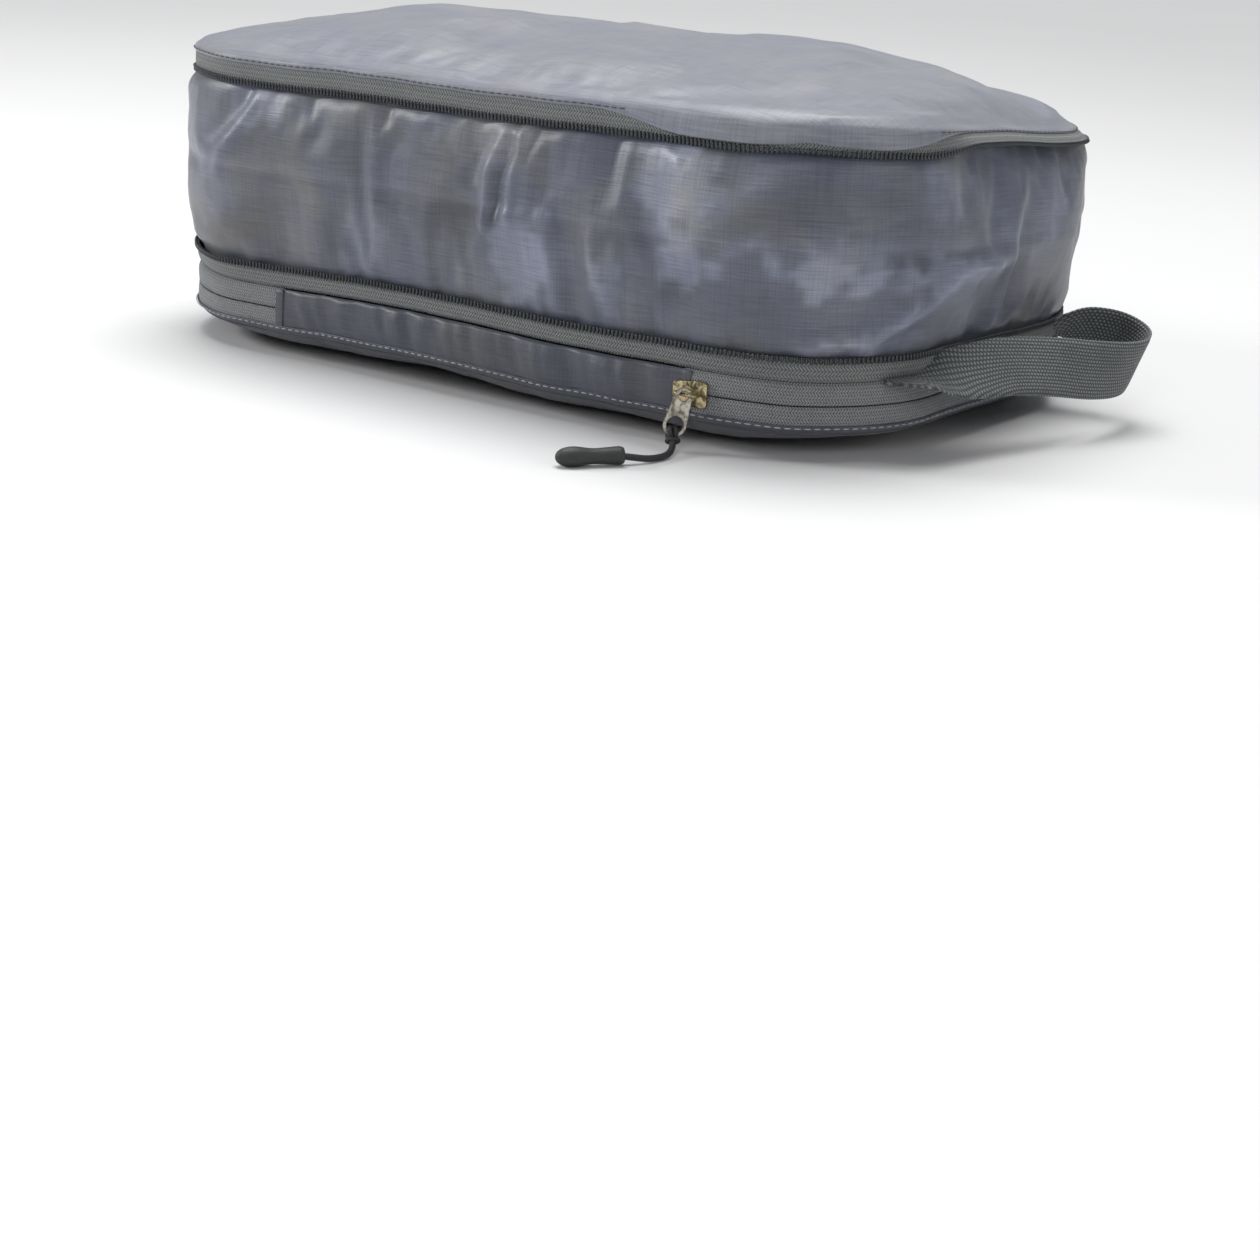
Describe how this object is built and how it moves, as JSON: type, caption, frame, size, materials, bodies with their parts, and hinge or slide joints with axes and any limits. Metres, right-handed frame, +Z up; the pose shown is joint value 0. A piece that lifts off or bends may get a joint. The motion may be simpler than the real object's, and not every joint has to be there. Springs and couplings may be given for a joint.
{
  "type": "compression packing cube",
  "caption": "Soft zipped packing cube with a domed panel, an expansion gusset closed by a compression zip, a zipped lid, a webbing side handle and a cord pull.",
  "frame": {"origin": "middle of the cube's plan, on the flat surface that it rests on", "axes": "+X along the long side towards the handle, -Y towards the hinged long side, +Z up"},
  "size_m": [0.3525, 0.2539, 0.1245],
  "materials": {
    "shell_fabric": "satin nylon ripstop",
    "binding_fabric": "woven binding tape",
    "zip_tape": "herringbone zip tape",
    "zip_coil": "nylon coil",
    "webbing": "coarse polypropylene webbing",
    "slider_metal": "aged brass plating",
    "tab_metal": "worn nickel plating",
    "cord": "braided black cord",
    "cord_rubber": "matte moulded"
  },
  "bodies": {
    "lid": {"lid_panel": "shell_fabric", "lid_seam_binding": "binding_fabric", "main_zip_tape_lower": "zip_tape", "main_zip_coil_lower": "zip_coil", "hinge_strip": "shell_fabric", "zip_end_tabs": "shell_fabric", "main_zip_tape_front": "zip_tape", "main_zip_coil_front": "zip_coil"},
    "tub": {"main_zip_tape_upper": "zip_tape", "main_zip_coil_upper": "zip_coil", "compression_tape_lower": "zip_tape", "compression_coil_lower": "zip_coil", "gusset": "shell_fabric", "tub_seam_binding": "binding_fabric", "retainer_box": "zip_coil", "compression_end_stop": "zip_coil"},
    "top": {"top_panel": "shell_fabric", "compression_tape_upper": "zip_tape", "compression_coil_upper": "zip_coil", "top_seam_binding": "binding_fabric", "insertion_pin": "zip_coil"},
    "handle": {"handle_webbing": "webbing"},
    "main_slider": {"main_slider": "slider_metal", "main_slider_bail": "slider_metal"},
    "main_pull": {"main_pull_tab": "tab_metal"},
    "pull_cord": {"cord_loop": "cord", "main_cord": "cord", "cord_end": "cord_rubber"},
    "compression_slider": {"compression_slider": "slider_metal", "compression_slider_bail": "slider_metal"},
    "compression_pull": {"compression_pull_tab": "tab_metal"}
  },
  "joints": [
    {"name": "lid_opening", "type": "hinge", "parent": "lid", "child": "tub", "pos_m": [0, -0.0976, 0.026], "axis": [1, 0, 0], "range_deg": [0, 90]},
    {"name": "compression", "type": "slide", "parent": "tub", "child": "top", "axis": [0, 0, 1], "range_m": [-0.055, 0], "deforming": ["gusset"]},
    {"name": "handle_lift", "type": "hinge", "parent": "tub", "child": "handle", "pos_m": [0.1575, 0, 0.026], "axis": [0, -1, 0], "range_deg": [-15, 45], "stiffness_Nm_per_rad": 0.06},
    {"name": "main_zip_travel", "type": "hinge", "parent": "lid", "child": "main_slider", "pos_m": [0.0985, -0.039, 0.0185], "axis": [0, 0, 1], "range_deg": [0, 90]},
    {"name": "main_tab_swing", "type": "hinge", "parent": "main_slider", "child": "main_pull", "pos_m": [0.0985, -0.1014, 0.0185], "axis": [-1, 0, 0], "range_deg": [0, 110]},
    {"name": "cord_swing", "type": "hinge", "parent": "main_pull", "child": "pull_cord", "pos_m": [0.09628, -0.10361, 0.00543], "axis": [-0.7071, -0.7071, 0], "range_deg": [0, 80]},
    {"name": "compression_zip_travel", "type": "slide", "parent": "tub", "child": "compression_slider", "axis": [-1, 0, 0], "range_m": [0, 0.15]},
    {"name": "compression_tab_swing", "type": "hinge", "parent": "compression_slider", "child": "compression_pull", "pos_m": [0.066, 0.1027, 0.0356], "axis": [1, 0, 0], "range_deg": [0, 110]}
  ]
}
